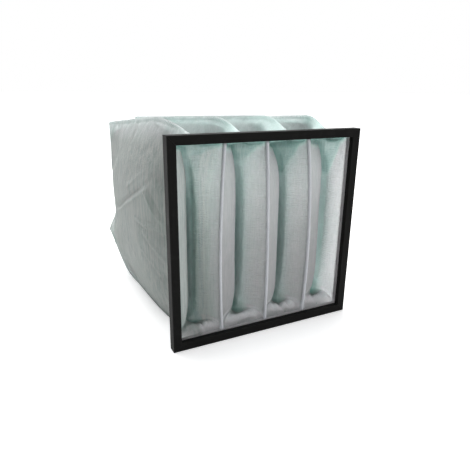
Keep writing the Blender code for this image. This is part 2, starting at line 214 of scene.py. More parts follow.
def makeFabric():
    look = fabricLook
    n = Nodes("nonWovenMedia")
    plain = n.objectPoint()
    fibres = n.noise(plain, look["fibreScale"], 4, 0.65)
    streaks = n.noise(n.objectPoint((1, 1, 0.07)), look["streakScale"], 3, 0.6)
    drafts = n.noise(n.objectPoint((1, 1, 0.045)), look["draftScale"], 3, 0.65)
    drawn = n.noise(n.objectPoint((1, 0.12, 1), (0.35, 0, 0)), look["streakScale"], 2, 0.6)
    mottle = n.noise(plain, look["mottleScale"], 5, 0.6, 0.4)
    clouds = n.noise(plain, look["cloudScale"], 2, 0.5)
    tint = n.attribute("tint")
    shade = n.attribute("shade")
    seam = n.attribute("seam")
    base = n.blend(n.span(tint, 0, 0.5, 0, 1), look["pale"], look["mint"])
    # painted light: the deep green stands for green light that comes through the fabric deep in a pocket, and
    # with the painted shade it also colours the V and the strip under the top rail
    base = n.blend(n.span(tint, 0.5, 1, 0, 1), base, look["paintedDeepGreen"])
    # painted light: a negative tint lightens the felt, as on the sill
    base = n.blend(n.span(tint, -0.5, 0, 1, 0), base, look["paintedLightPale"])
    # painted shade: the shade attribute darkens the felt towards grey, and towards dark green where its tint
    # is green
    paintedShadeColour = n.blend(n.span(tint, 0.3, 0.8, 0, 1), look["paintedShadeGrey"], look["paintedShadeGreen"])
    base = n.blend(shade, base, paintedShadeColour)
    base = n.tone(base, mottle, *look["mottle"])
    base = n.tone(base, clouds, *look["clouds"])
    base = n.tone(base, streaks, *look["streaks"])
    drafted = n.sum("MULTIPLY", n.sum("ADD", shade, look["leastShade"]), look["draftWeight"], clamp=True)
    base = n.tone(base, drafts, drafted, *look["drafts"])
    base = n.tone(base, fibres, *look["fibres"])
    base = n.blend(n.sum("MULTIPLY", seam, look["seamWeight"]), base, look["seam"], "MULTIPLY")
    n.put(n.shader.inputs["Base Color"], base)
    # crosswise ribs near the dividers, and weld dots along the seams
    spot = n.add("ShaderNodeSeparateXYZ")
    n.put(spot.inputs[0], n.objectPoint())
    wobble = n.sum("MULTIPLY", n.noise(n.objectPoint((1, 0.3, 1)), 42, 3, 0.6), look["ribWobble"])
    ribTurn = n.sum("MULTIPLY", n.sum("ADD", spot.outputs["Z"], wobble), 2 * math.pi / look["ribPitch"])
    ribs = n.sum("MULTIPLY", n.sum("SINE", ribTurn), n.attribute("rib"))
    dotTurn = n.sum("MULTIPLY", spot.outputs["Y"], 2 * math.pi / look["dotPitch"])
    dots = n.sum("MULTIPLY", n.sum("SINE", dotTurn), seam)
    shadedDrafts = n.sum("MULTIPLY", drafts, drafted)
    relief = n.sum("MULTIPLY", fibres, look["fibreRelief"])
    patterns = (streaks, drawn, shadedDrafts, mottle, ribs, dots)
    for pattern, share in zip(patterns, look["reliefShares"]):
        relief = n.sum("ADD", relief, n.sum("MULTIPLY", pattern, share))
    n.relief(relief, look["relief"])
    n.put(n.shader.inputs["Roughness"], n.span(fibres, 0.3, 0.7, *look["roughness"]))
    n.constants(specular=0.15, sheen=0.12, sheenRoughness=0.6, scatter=0.85, scatterScale=0.030)
    n.shader.inputs["Subsurface Radius"].default_value = look["scatterRadius"]
    return n.material


tapeLook = {
    "colour": (0.740, 0.748, 0.780),
    "shade": (0.64, 0.66, 0.69),
    "weaveScale": 1100,
    "foldScale": 60,
    "folds": (0.5, 0.20, (0.86, 0.87, 0.88), (1, 1, 1)),
    "relief": 0.0007,
}


def makeTape():
    look = tapeLook
    n = Nodes("bindingTape")
    weave = n.noise(n.objectPoint((1, 1, 0.35)), look["weaveScale"], 3, 0.6)
    folds = n.noise(n.objectPoint((1, 1, 0.5)), look["foldScale"], 3, 0.55)
    base = n.blend(n.span(weave, 0.35, 0.65, 0, 1), look["shade"], look["colour"])
    n.put(n.shader.inputs["Base Color"], n.tone(base, folds, *look["folds"]))
    n.relief(n.sum("ADD", n.sum("MULTIPLY", weave, 0.4), folds), look["relief"])
    n.put(n.shader.inputs["Roughness"], n.span(weave, 0.3, 0.7, 0.8, 0.95))
    n.constants(specular=0.2, sheen=0.1, sheenRoughness=0.5)
    return n.material


plasticLook = {
    "colour": (0.0090, 0.0090, 0.0085),
    "worn": (0.030, 0.031, 0.030),
    "dust": (0.035, 0.035, 0.034),
    "dustShare": 0.25,
    "edge": 0.0011,  # width of the paler wear along the edges
    "lineScale": 700,
    "lineTones": (0.85, 1.15),
    "grainScale": 1900,
    "dustScale": 46,
    "relief": 0.00009,
}


def makePlastic(name, tone, roughness, alongX):
    # extruded satin plastic: faint draw lines along the rail, a fine grain and paler edges
    look = plasticLook
    n = Nodes(name)
    stretch = (0.02, 1, 1) if alongX else (1, 1, 0.02)
    lines = n.noise(n.objectPoint(stretch), look["lineScale"], 3, 0.6)
    grain = n.noise(n.objectPoint(), look["grainScale"], 2, 0.5)
    dust = n.noise(n.objectPoint(), look["dustScale"], 6, 0.7)
    axes = n.add("ShaderNodeSeparateXYZ")
    n.put(axes.inputs[0], n.objectPoint(place=(0, 0, -middleHeight)))
    across = n.sum("MAXIMUM", n.sum("ABSOLUTE", axes.outputs["X"]), n.sum("ABSOLUTE", axes.outputs["Z"]))
    outerEdge = n.sum("ABSOLUTE", n.sum("SUBTRACT", across, middleHeight))
    innerEdge = n.sum("ABSOLUTE", n.sum("SUBTRACT", across, openingHeight / 2))
    frontEdge = n.sum("ABSOLUTE", n.sum("SUBTRACT", axes.outputs["Y"], frontY))
    reach = n.sum("ADD", n.sum("MINIMUM", outerEdge, innerEdge), frontEdge)
    worn = n.span(reach, 0, look["edge"], 1, 0)
    worn = n.sum("MULTIPLY", worn, n.span(dust, 0.35, 0.65, 0.35, 1), clamp=True)
    dark, pale = (tuple(part * tone * lineTone for part in look["colour"]) for lineTone in look["lineTones"])
    base = n.blend(n.span(lines, 0.35, 0.65, 0, 1), dark, pale)
    base = n.blend(n.span(dust, 0.52, 0.78, 0, look["dustShare"]), base, look["dust"])
    base = n.blend(worn, base, look["worn"])
    n.put(n.shader.inputs["Base Color"], base)
    drawn = n.span(lines, 0.3, 0.7, roughness - 0.05, roughness + 0.05)
    n.put(n.shader.inputs["Roughness"], n.sum("ADD", drawn, n.span(dust, 0.3, 0.7, -0.04, 0.06)))
    n.relief(n.sum("ADD", lines, n.sum("MULTIPLY", grain, 0.5)), look["relief"])
    n.constants(specular=0.035)
    return n.material


nylonLook = {
    "dark": (0.03, 0.03, 0.03),
    "pale": (0.05, 0.05, 0.05),
    "grainScale": 1500,
    "cloudScale": 90,
    "relief": 0.0001,
}


def makeNylon():
    look = nylonLook
    n = Nodes("mouldedNylon")
    grain = n.noise(n.objectPoint(), look["grainScale"], 3, 0.6)
    clouds = n.noise(n.objectPoint(), look["cloudScale"], 3, 0.5)
    base = n.blend(n.span(clouds, 0.3, 0.7, 0, 1), look["dark"], look["pale"])
    n.put(n.shader.inputs["Base Color"], base)
    n.put(n.shader.inputs["Roughness"], n.span(grain, 0.3, 0.7, 0.45, 0.6))
    n.relief(grain, look["relief"])
    return n.material


fabric = makeFabric()
tape = makeTape()
railAcross = makePlastic("satinPlasticAcross", 1.0, 0.46, True)
railUpright = makePlastic("satinPlasticUpright", 1.0, 0.46, False)
stripAcross = makePlastic("stripPlasticAcross", 1.15, 0.52, True)
stripUpright = makePlastic("stripPlasticUpright", 1.15, 0.52, False)
nylon = makeNylon()


def dressNode(name, material):
    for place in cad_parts[name].material_slots:
        place.material = material


for side in ("top", "bottom", "left", "right"):
    level = side in ("top", "bottom")
    dressNode(side + "_rail", railAcross if level else railUpright)
    dressNode(side + "_clamp_strip", stripAcross if level else stripUpright)
for corner in ("top_left", "top_right", "bottom_left", "bottom_right"):
    dressNode("corner_key_" + corner, nylon)
print("header dressed")


# pockets

pocket = {
    "count": 4,
    "depth": 0.610,
    "media": 0.0040,
    "pressed": 0.0012,
    "lip": 0.010,
    "throat": 0.030,  # behind the header
    "throatHalf": 0.015,
    "belly": 0.235,  # behind the header
    "bellyHalf": 0.042,
    "tailHalf": 0.0055,
    "crownRise": 0.045,
    "tailFall": 0.034,
    "floorGap": 0.0010,
    "fullness": 2.5,
    "shoulder": 0.080,  # extra length in which a wall turns in near its bottom
    "shoulderPower": 5,
    "shoulderReach": 0.130,  # depth of the closely ringed stretch behind the throat
    "seam": 0.009,
    "seamHalf": 0.0015,
    "rounding": 0.008,
    "leanLength": 0.080,
    "driftPower": 1.2,
    "kinkStart": 0.061,
    "kinkHeight": 0.075,
    "bindingDepth": 0.008,
    "hang": (
        dict(throat=0.003, shoulder=0.110, lean=-0.037, drift=-0.020, crown=0.165, sag=0.010, corner=0.230,
             lift=0.115, kink=-0.026),
        dict(throat=0.008, shoulder=0.150, lean=-0.012, drift=-0.074, crown=0.140, sag=-0.005, corner=0.110,
             lift=0.035, kink=-0.008),
        dict(throat=0.012, shoulder=0.240, lean=-0.005, drift=-0.060, crown=0.120, sag=-0.005, corner=0.120,
             lift=0.030, kink=0.006),
        dict(throat=0.023, shoulder=0.150, lean=0.000, drift=-0.045, crown=0.108, sag=0.002, corner=0.110,
             lift=0.040, kink=-0.006),
    ),
    "dividers": ((0.003, -0.007), (-0.005, 0.005), (-0.006, 0.012)),  # lean and bow
    # the green inside a throat is painted light
    "early": (0.006, 0.016, 0.018, 0.022),  # depth at which the green of the throat sets in
    "wallSteps": 44,
    "runSteps": 9,
    # number of rings up to each depth
    "rings": (
        (3, "turn"), (12, "throat"), (22, "shoulderEnd"), (40, "rounding"), (4, "tailEnd"), (1, "end"),
    ),
}
pitch = openingWidth / pocket["count"]
lipFront = frontY + header["chamber"] + header["clearance"]
neck = rearY - lipFront
turnDepth = pocket["bindingDepth"] + header["clearance"]
throatDepth = neck + pocket["throat"]
bellyDepth = neck + pocket["belly"]
tailEnd = pocket["depth"] - pocket["seam"]
roundingDepth = tailEnd - pocket["rounding"]
innerEnd = tailEnd - pocket["rounding"] / 2
mouthHalf = openingHeight / 2 - header["clearance"]
panelHalf = mouthHalf + pitch / 2
cornerShare = mouthHalf / panelHalf
seamShare = 1 - pocket["seam"] / panelHalf
lastPocket = pocket["count"] - 1


def dividerX(number, height):
    line = -openingWidth / 2 + (number + 1) * pitch
    if 0 <= number < len(pocket["dividers"]):
        lean, bow = pocket["dividers"][number]
        share = height / mouthHalf
        line += lean * share + bow * (1 - share * share)
    return line


def mouthX(number, side, height):
    if side < 0 and number == 0:
        return -openingWidth / 2 + header["clearance"]
    if side > 0 and number == lastPocket:
        return openingWidth / 2 - header["clearance"]
    return dividerX(number if side > 0 else number - 1, height) - side * header["clearance"] / 2


def mouthPoint(number, side, share, inset):
    half = mouthHalf - inset
    middle = (mouthX(number, -1, 0) + mouthX(number, 1, 0)) / 2
    if abs(share) <= cornerShare:
        height = share / cornerShare * half
        return mouthX(number, side, height) - side * inset, height
    height = math.copysign(half, share)
    corner = mouthX(number, side, height) - side * inset
    return mix(middle, corner, (1 - abs(share)) / (1 - cornerShare)), height


def halfWidthAt(depth):
    if depth < throatDepth:
        return pocket["throatHalf"]
    if depth < bellyDepth:
        swell = math.sin(math.pi / 2 * (depth - throatDepth) / (bellyDepth - throatDepth))
        return mix(pocket["throatHalf"], pocket["bellyHalf"], swell)
    if depth < roundingDepth:
        swell = math.cos(math.pi / 2 * (depth - bellyDepth) / (roundingDepth - bellyDepth))
        return mix(pocket["tailHalf"], pocket["bellyHalf"], swell)
    return pocket["tailHalf"] * math.sqrt(max(tailEnd - depth, 0) / pocket["rounding"])


def cornerRise(hang, depth):
    return ease(depth - pocket["depth"] + hang["corner"], 0, hang["corner"])


def topAt(hang, depth):
    crown = neck + hang["crown"]
    fall = (pocket["tailFall"] + hang["sag"]) * max(depth - crown, 0) / (pocket["depth"] - crown)
    return openingHeight / 2 + pocket["crownRise"] - fall


def bottomAt(hang, depth):
    return -middleHeight + pocket["floorGap"] + hang["lift"] * cornerRise(hang, depth) ** 2


def centreX(number, depth, height):
    hang = pocket["hang"][number]
    start = -openingWidth / 2 + (number + 0.5) * pitch
    behind = max(depth - neck, 0)
    lean = hang["lean"] * (1 - math.exp(-behind / pocket["leanLength"]))
    drift = hang["drift"] * (behind / (pocket["depth"] - neck)) ** pocket["driftPower"]
    kink = hang["kink"] * ease(-height, pocket["kinkStart"], pocket["kinkHeight"]) * cornerRise(hang, depth)
    leave = 1 - ease(depth, throatDepth, bellyDepth - throatDepth)
    bend = hang["throat"] * ease(depth / throatDepth) * leave
    return start + lean + drift + kink + bend


def lensPoint(number, side, share, depth, wall):
    hang = pocket["hang"][number]
    top = topAt(hang, depth)
    bottom = bottomAt(hang, depth)
    half = halfWidthAt(depth)
    halfHeight = (top - bottom) / 2
    power = pocket["fullness"]
    if wall > 0:
        halfHeight = (halfHeight - pocket["seam"]) * (1 - wall / half) ** (1 / power)
        out = (half - wall) * (1 - abs(share) ** power)
    else:
        full = min(abs(share) / seamShare, 1)
        out = max(half * (1 - full ** power), pocket["seamHalf"]) if abs(share) < 1 else 0
    height = (top + bottom) / 2 + share * halfHeight
    return centreX(number, depth, height) + side * out, height


def wallAt(depth):
    full = mix(pocket["pressed"], pocket["media"], ease(depth, turnDepth, neck))
    return min(full, halfWidthAt(depth) / 2)


creases = {
    "waveHeight": 0.0020,
    "waveScale": 9.0,
    "waveStep": 7.3,  # from one divider's waves to the next one's
    "fade": 0.05,  # depth in which the waves set in and die out
    "calm": (0.9, 0.1),  # share from which the waves fade to the seams, and its span
    # the fabric that bulges over the bottom rail, and hangs a little below the top one
    "sillHeight": 0.0130,
    "sillDepth": 0.021,
    "sillWidth": 0.015,
    "hemDrop": 0.0015,
    "hemDepth": 0.017,
    "runIn": (0.06, 0.12),  # both set in this share before the corner, in this span
    "sillWave": (0.8, 26),  # height and count of the sill's lumps
    # green V at the top of each mouth, painted shade of a recess: share of its tip, and its edge's depth
    # there and at the top
    "v": ((0.70, 0.050, 0.004), (0.66, 0.045, 0.010), (0.50, 0.055, 0.018), (0.45, 0.040, 0.012)),
    "vTop": 0.87,
    "vBend": 0.8,
    "vSoft": (0.012, 0.05),  # depth and share in which its edge fades
    "pressedFade": 0.6,  # share of a pressed fold's height that is lost along it
    # folds pressed into the outer wall of the first pocket: height, width, (depth, share) along the line
    "pressed": (
        (0.0060, 0.030, ((0.165, 0.33), (0.150, 0.20))),
        (0.0026, 0.0075, ((0.165, 0.33), (0.355, 0.05), (0.545, -0.22))),
        (-0.0034, 0.0080, ((0.162, 0.39), (0.352, 0.10), (0.542, -0.18))),
        (0.0030, 0.0040, ((0.165, 0.33), (0.135, 0.14), (0.100, 0.06))),
        (-0.0026, 0.0050, ((0.148, 0.35), (0.118, 0.18), (0.085, 0.11))),
        (0.0026, 0.0040, ((0.235, 0.03), (0.175, -0.02), (0.120, 0.03))),
        (-0.0022, 0.0050, ((0.225, -0.02), (0.175, -0.065), (0.125, -0.02))),
        (0.0026, 0.0045, ((0.210, -0.28), (0.155, -0.38), (0.105, -0.50))),
        (-0.0022, 0.0050, ((0.205, -0.33), (0.155, -0.43), (0.110, -0.55))),
        (0.0024, 0.0045, ((0.190, -0.08), (0.130, -0.22), (0.090, -0.30))),
        (-0.0020, 0.0045, ((0.200, -0.12), (0.140, -0.26), (0.100, -0.35))),
        (0.0018, 0.0060, ((0.300, 0.30), (0.230, 0.42), (0.180, 0.50))),
        (-0.0016, 0.0080, ((0.430, -0.28), (0.330, -0.40), (0.240, -0.62))),
        (0.0020, 0.0060, ((0.420, -0.22), (0.320, -0.34), (0.230, -0.55))),
    ),
}


def lineDistance(spot, points):
    # distance from a spot to a line through points, and how far along it that is
    best = (1, 0)
    for index, (first, second) in enumerate(zip(points, points[1:])):
        along = second - first
        share = min(max((spot - first).dot(along) / along.length_squared, 0), 1)
        best = min(best, ((spot - first - along * share).length, (index + share) / (len(points) - 1)))
    return best


pressedLines = [(height, width, [Vector((depth, share * panelHalf)) for depth, share in points])
                for height, width, points in creases["pressed"]]


def pressedAt(share, depth):
    spot = Vector((depth, share * panelHalf))
    shift = 0
    for height, width, points in pressedLines:
        away, along = lineDistance(spot, points)
        if away < 3 * width:
            shift += height * (1 - creases["pressedFade"] * along) * math.exp(-(away / width) ** 2)
    return shift


def paintedShadeV(number, side, share, depth):
    # 1 inside the painted shade V at the top of a mouth, on its right panel
    tip, tipDepth, topDepth = creases["v"][number]
    if side < 0 or share <= tip:
        return 0
    edge = mix(tipDepth, topDepth, min((share - tip) / (creases["vTop"] - tip), 1) ** creases["vBend"])
    softDepth, softShare = creases["vSoft"]
    return ease(depth, edge, softDepth) * ease(share, tip, softShare)


def creaseAt(number, side, share, depth):
    # shift of a pocket's point by folds and bulges, alike for both faces of the fabric
    fade = creases["fade"]
    free = ease(depth, turnDepth, fade) * (1 - ease(depth - tailEnd + fade, 0, fade))
    level = abs(share)
    divider = number + (side > 0)  # both panels at a divider get the same waves and never meet
    spot = Vector((depth, share * panelHalf, 0)) * creases["waveScale"]
    spot += Vector((divider * creases["waveStep"], 0, 0))
    across = creases["waveHeight"] * noise.fractal(spot, 0.8, 2.0, 3) * free
    across *= 1 - ease(level, *creases["calm"])
    up = 0
    early, span = creases["runIn"]
    if level > cornerShare - early:
        run = ease(level - cornerShare + early, 0, span)
        if share < 0:
            lump, count = creases["sillWave"]
            wave = 1 + lump * noise.noise(Vector((side * (1 - level) * count + number * 3.7, 0.4, number)))
            height = creases["sillHeight"] * wave
            up = height * bump(depth, creases["sillDepth"], creases["sillWidth"]) * run
        else:
            up = -creases["hemDrop"] * bump(depth, creases["hemDepth"], creases["sillWidth"]) * run
    return Vector((across, 0, up))


def pocketPoint(number, side, share, depth, inner):
    wall = wallAt(depth) if inner else 0
    hang = pocket["hang"][number]
    mouthAcross, mouthUp = mouthPoint(number, side, share, wall)
    lensAcross, lensUp = lensPoint(number, side, share, depth, wall)
    rise = math.sin(math.pi / 2 * min(max(depth - neck, 0) / hang["crown"], 1))
    # both faces of the fabric close alike at the same height, so that they never cross
    top = topAt(hang, depth)
    bottom = bottomAt(hang, depth)
    mouthReach = abs(share) * panelHalf * (1 - wall / mouthHalf)
    level = mix(mouthReach, abs(lensUp - (top + bottom) / 2), rise) / mix(panelHalf, (top - bottom) / 2, rise)
    shoulder = hang["shoulder"] if share > 0 else pocket["shoulder"]
    length = throatDepth - turnDepth + shoulder * level ** pocket["shoulderPower"]
    closing = ease(depth, turnDepth, length)
    across = mix(mouthAcross, lensAcross, closing)
    up = middleHeight + mix(mouthUp, lensUp, rise)
    place = Vector((across, lipFront + depth, up))
    if depth > turnDepth:
        place += creaseAt(number, side, share, depth)
    return place


def panelStops():
    # (share, place) down one panel, a corner met three times for its two lips
    steps = pocket["runSteps"]
    top = [(mix(seamShare, cornerShare, step / steps), "edge") for step in range(steps)]
    corner = [(cornerShare, place) for place in ("edge", "corner", "wall")]
    steps = pocket["wallSteps"]
    wall = [(cornerShare * (1 - 2 * step / steps), "wall") for step in range(1, steps)]
    upper = top + corner
    return upper + wall + [(-share, place) for share, place in reversed(upper)]


def ringDepths():
    ends = {
        "turn": turnDepth,
        "throat": throatDepth,
        "shoulderEnd": throatDepth + pocket["shoulderReach"],
        "rounding": roundingDepth,
        "tailEnd": tailEnd,
        "end": pocket["depth"],
    }
    depths = []
    start = pocket["pressed"]
    for steps, name in pocket["rings"]:
        depths += [mix(start, ends[name], (step + 1) / steps) for step in range(steps)]
        start = ends[name]
    return depths


def lipShift(number, side, share, place):
    framed = (side < 0 and number == 0) or (side > 0 and number == lastPocket)
    across = side * pocket["lip"] if framed and place != "edge" else 0
    up = math.copysign(pocket["lip"], share) if place != "wall" else 0
    return Vector((across, 0, up))


stops = panelStops()
around = [(-1, 1.0, "edge")] + [(-1, share, place) for share, place in stops]
around += [(-1, -1.0, "edge")] + [(1, share, place) for share, place in reversed(stops)]
ringList = ringDepths()


# cloth simulation: the welded and clamped edges hold, and fabric that is a little too long for
# them buckles into wrinkles between

drape = {
    "frames": 20,
    "quality": 5,
    "spare": 0.024,  # share by which the fabric is too long
    "mass": 0.12,
    "tension": 9.0,
    "shear": 3.0,
    "bending": 0.05,
    "hold": 0.001,  # how near to a weld the fabric is held
    "heldDepth": 0.060,
    "calmDepth": 0.160,  # depth from which the wrinkles have their full height
    # largest wrinkle, and the shares of it that are left at the front and on the tops
    "cap": 0.0034,
    "frontCap": 0.15,
    "topCap": 0.35,
    "topFade": (0.55, 0.2),
    # share of the pocket's half width that a wrinkle may reach where it is narrow, and a least amount
    "narrowCap": 0.35,
    "leastCap": 0.0001,
}


def drapeSheet(spots, faces, held):
    # where the points of a sheet come to rest
    mesh = bpy.data.meshes.new("wrinkleSheet")
    mesh.from_pydata([tuple(spot) for spot in spots], [], faces)
    sheet = addMesh("wrinkleSheet", mesh)
    pins = sheet.vertex_groups.new(name="held")
    pins.add(held, 1.0, "REPLACE")
    cloth = sheet.modifiers.new("drape", "CLOTH")
    settings = cloth.settings
    settings.quality = drape["quality"]
    settings.mass = drape["mass"]
    settings.tension_stiffness = drape["tension"]
    settings.compression_stiffness = drape["tension"]
    settings.shear_stiffness = drape["shear"]
    settings.bending_stiffness = drape["bending"]
    settings.shrink_min = -drape["spare"]
    settings.vertex_group_mass = pins.name
    settings.effector_weights.gravity = 0
    cloth.collision_settings.use_collision = False
    cloth.point_cache.frame_start = 1
    cloth.point_cache.frame_end = drape["frames"]
    scene = bpy.context.scene
    for tick in range(1, drape["frames"] + 1):
        scene.frame_set(tick)
    graph = bpy.context.evaluated_depsgraph_get()
    settled = sheet.evaluated_get(graph).to_mesh()
    moved = [vertex.co.copy() for vertex in settled.vertices]
    scene.frame_set(1)
    bpy.data.objects.remove(sheet, do_unlink=True)
    return moved


def wrinkleLimit(share, depth):
    grown = ease(depth, drape["heldDepth"], drape["calmDepth"] - drape["heldDepth"])
    wide = drape["cap"] * mix(drape["frontCap"], 1, grown)
    narrow = drape["narrowCap"] * halfWidthAt(depth) + drape["leastCap"]
    return min(wide, narrow) * mix(1, drape["topCap"], ease(share, *drape["topFade"]))


def simulateWrinkles(number):
    # shift of each point of the outer face, as rows by depth and columns around the pocket
    columns = []  # column of the simulated sheet for each point around, corners taken once
    for index, (side, share, place) in enumerate(around):
        repeat = index > 0 and around[index - 1][:2] == (side, share)
        columns.append(columns[-1] if repeat else (columns[-1] + 1 if columns else 0))
    width = columns[-1] + 1
    spots = []
    held = []
    for depth in ringList:
        for index, (side, share, place) in enumerate(around):
            if index and columns[index] == columns[index - 1]:
                continue
            spots.append(pocketPoint(number, side, share, depth, False))
            welded = depth >= tailEnd - drape["hold"] or abs(share) >= seamShare - drape["hold"]
            if welded or depth < drape["heldDepth"]:
                held.append(len(spots) - 1)
    faces = []
    for row in range(len(ringList) - 1):
        for column in range(width):
            ahead = (column + 1) % width
            start = row * width
            faces.append((start + column, start + ahead, start + width + ahead, start + width + column))
    moved = drapeSheet(spots, faces, held)
    shifts = []
    for row, depth in enumerate(ringList):
        line = []
        for index, (side, share, place) in enumerate(around):
            spot = row * width + columns[index]
            shift = moved[spot] - spots[spot]
            size = shift.length
            limit = wrinkleLimit(share, depth)
            line.append(shift * (limit * math.tanh(size / limit) / size) if size > 0 else shift)
        shifts.append(line)
    largest = max(shift.length for line in shifts for shift in line)
    print("pocket", number + 1, "draped, largest shift", round(largest, 4))
    return shifts


# tint is -0.5 on the sill, lightened as painted light, 0 on pale felt, 0.5 on mint felt and 1 in painted deep
# green

feltTint = {
    "least": 0.02,
    # inside a pocket the green that rises with depth is painted light, the green light that comes through the
    # fabric
    "throat": (0.58, 0.045),  # rise from the early depth on, and its span
    "behind": (0.35, 0.040, 0.040),  # further rise, its start and its span
    "left": (0.060, 0.030),  # start and span in which a left panel takes colour
    # painted light: the sill is lightened to a paler felt
    "sill": (-0.5, 0.026, 0.016),  # tint, and the start and span in which it ends
    "sillShare": 0.05,  # how far the sill reaches up from the corners
    # painted shade: deep green beneath the top rail
    "underTop": (0.85, 0.01),  # tint beneath the top rail, and how far it reaches down
    # painted shade: the deep green of the V
    "v": 0.95,
    # painted green light on the inside of the pocket's top, from just behind the mouth
    "crown": (0.85, 0.74, 0.08, 0.02),  # tint, start and span of its share, span of its depth
    "outerRight": (0.05, 0.16, 0.20, 0.25),  # tint in front, rise, start and span of the rise
    # painted shade: the first pocket's outer wall is less green, as it lies in shade
    "outerFirst": 0.10,
    "outerLeft": 0.30,
}
# painted shade, by which the felt is darkened where it lies in shadow
paintedFeltShade = {
    # painted shade in the mouth of the first pocket: its left panel, its right one from a depth on, and where
    # both end
    "firstLeft": 0.8,
    "firstRight": (0.9, 0.012, 0.02),
    "firstEnd": (0.045, 0.02),
    # painted shadow in the hollow behind the sill
    "behindSill": (0.6, 0.72, 0.08, 0.032, 0.012),  # shade, start and span by share, then by depth
    # painted shadow beneath the top rail: shade, and how far it reaches down
    "underRail": (0.85, 0.02),
    # painted shade of the green V
    "v": 0.6,
    # painted shade on the outer left wall of the first pocket
    "outer": (0.9, 0.3, 0.72, 0.2),  # shade below and at the top, start and span between
}


def tintAt(number, side, share, depth, inner):
    look = feltTint
    if not inner:
        if side > 0:
            base, rise, start, span = look["outerRight"]
            return base + rise * ease(depth, start, span)
        return look["outerFirst"] if number == 0 else look["outerLeft"]
    tint, margin = look["underTop"]
    if share > cornerShare - margin:
        return tint
    rise, span = look["throat"]
    further, start, furtherSpan = look["behind"]
    slope = look["least"] + rise * ease(depth, pocket["early"][number], span)
    slope += further * ease(depth, start, furtherSpan)
    if side < 0:
        slope *= ease(depth, *look["left"])
    if share < look["sillShare"] - cornerShare:
        tint, start, span = look["sill"]
        return mix(tint, slope, ease(depth, start, span))
    tint, start, span, depthSpan = look["crown"]
    crown = tint * ease(share, start, span) * ease(depth, 0, depthSpan)
    return max(slope, look["v"] * paintedShadeV(number, side, share, depth), crown)


def paintedShadeAt(number, side, share, depth, inner):
    # painted shade: the first pocket is darkened, most of all away from its top, and so are the green V of
    # each mouth, the strip under the top rail and the hollow behind the sill
    look = paintedFeltShade
    if not inner:
        low, high, start, span = look["outer"]
        return mix(low, high, ease(share, start, span)) if number == 0 and side < 0 else 0
    first = 0
    if number == 0:
        shade, start, span = look["firstRight"]
        first = look["firstLeft"] if side < 0 else shade * ease(depth, start, span)
        first *= 1 - ease(depth, *look["firstEnd"])
    shade, low, span, start, depthSpan = look["behindSill"]
    behindSill = shade * ease(-share, low, span) * ease(depth, start, depthSpan)
    shade, margin = look["underRail"]
    underRail = shade * ease(share - cornerShare + margin, 0, margin)
    return max(first, look["v"] * paintedShadeV(number, side, share, depth), underRail, behindSill)


ribReach = {"depth": (0.02, 0.08), "share": (0.72, 0.1)}  # start and span in which the ribs fade


def ribAt(side, share, depth, inner):
    if not inner or side < 0:
        return 0
    return (1 - ease(depth, *ribReach["depth"])) * (1 - ease(abs(share), *ribReach["share"]))


# the tint layer carries the felt's colour with its painted light and green, the shade layer its painted shade
layerNames = ("tint", "rib", "seam", "shade", "depthAt", "shareAt", "folded")
weld = {"share": (0.012, 0.006), "depth": (0.06, 0.04)}  # where the weld dots set in, and in which span


def feltValues(number, side, share, depth, inner):
    # what the material and the pressed folds read at a point, in the order of the layers
    margin, span = weld["share"]
    welded = 0 if inner else ease(abs(share) - seamShare + margin, 0, span) * ease(depth, *weld["depth"])
    tint = tintAt(number, side, share, depth, inner)
    shade = paintedShadeAt(number, side, share, depth, inner)
    folded = 0 if inner or side > 0 else 1
    return tint, ribAt(side, share, depth, inner), welded, shade, depth, share, folded


def flatValues(tint):
    return (tint, 0, 0, 0, 0, 0, 0)


def buildPocket(number):
    shifts = simulateWrinkles(number)
    rings = []  # lists of (point, values of the layers)

    def ring(row, inner, closed=False):
        depth = ringList[row]
        line = []
        for index, (side, share, place) in enumerate(around):
            point = pocketPoint(number, side, share, depth, inner)
            if closed:
                point = (point + pocketPoint(number, -side, share, depth, inner)) / 2
            else:
                point += shifts[row][index]
            line.append((point, feltValues(number, side, share, depth, inner)))
        rings.append(line)

    inside = [row for row, depth in enumerate(ringList) if depth <= innerEnd]
    ring(inside[-1], True, closed=True)
    for row in reversed(inside[:-1]):
        ring(row, True)
    mouth = [(pocketPoint(number, side, share, 0, True), flatValues(0.04)) for side, share, place in around]
    rings.append(mouth)
    lipFaces = ([], [], [])
    for side, share, place in around:
        edge = pocketPoint(number, side, share, 0, False)
        lip = lipShift(number, side, share, place)
        thick = pocket["pressed"] if lip.length > 0 else pocket["pressed"] / 2
        corners = (edge + lip, edge + lip + Vector((0, thick, 0)), edge + Vector((0, pocket["pressed"], 0)))
        for row, point in zip(lipFaces, corners):
            row.append((point, flatValues(0.1)))
    rings.extend(lipFaces)
    for row in range(len(ringList)):
        ring(row, False)
    ring(len(ringList) - 1, False, closed=True)

    skin = bmesh.new()
    layers = [skin.verts.layers.float.new(name) for name in layerNames]
    rows = []
    for line in rings:
        made = []
        for point, values in line:
            vert = skin.verts.new(point)
            for layer, value in zip(layers, values):
                vert[layer] = value
            made.append(vert)
        rows.append(made)
    count = len(around)
    for row, following in zip(rows, rows[1:]):
        for index in range(count):
            ahead = (index + 1) % count
            skin.faces.new((row[index], row[ahead], following[ahead], following[index]))
    bmesh.ops.remove_doubles(skin, verts=skin.verts, dist=0.000002)
    bmesh.ops.dissolve_degenerate(skin, edges=skin.edges, dist=0.000002)
    bmesh.ops.recalc_face_normals(skin, faces=skin.faces)
    for face in skin.faces:
        face.smooth = True
    mesh = bpy.data.meshes.new("pocketFabric" + str(number + 1))
    skin.to_mesh(mesh)
    skin.free()
    mesh.set_sharp_from_angle(angle=math.radians(60))
    return addMesh(mesh.name, mesh)


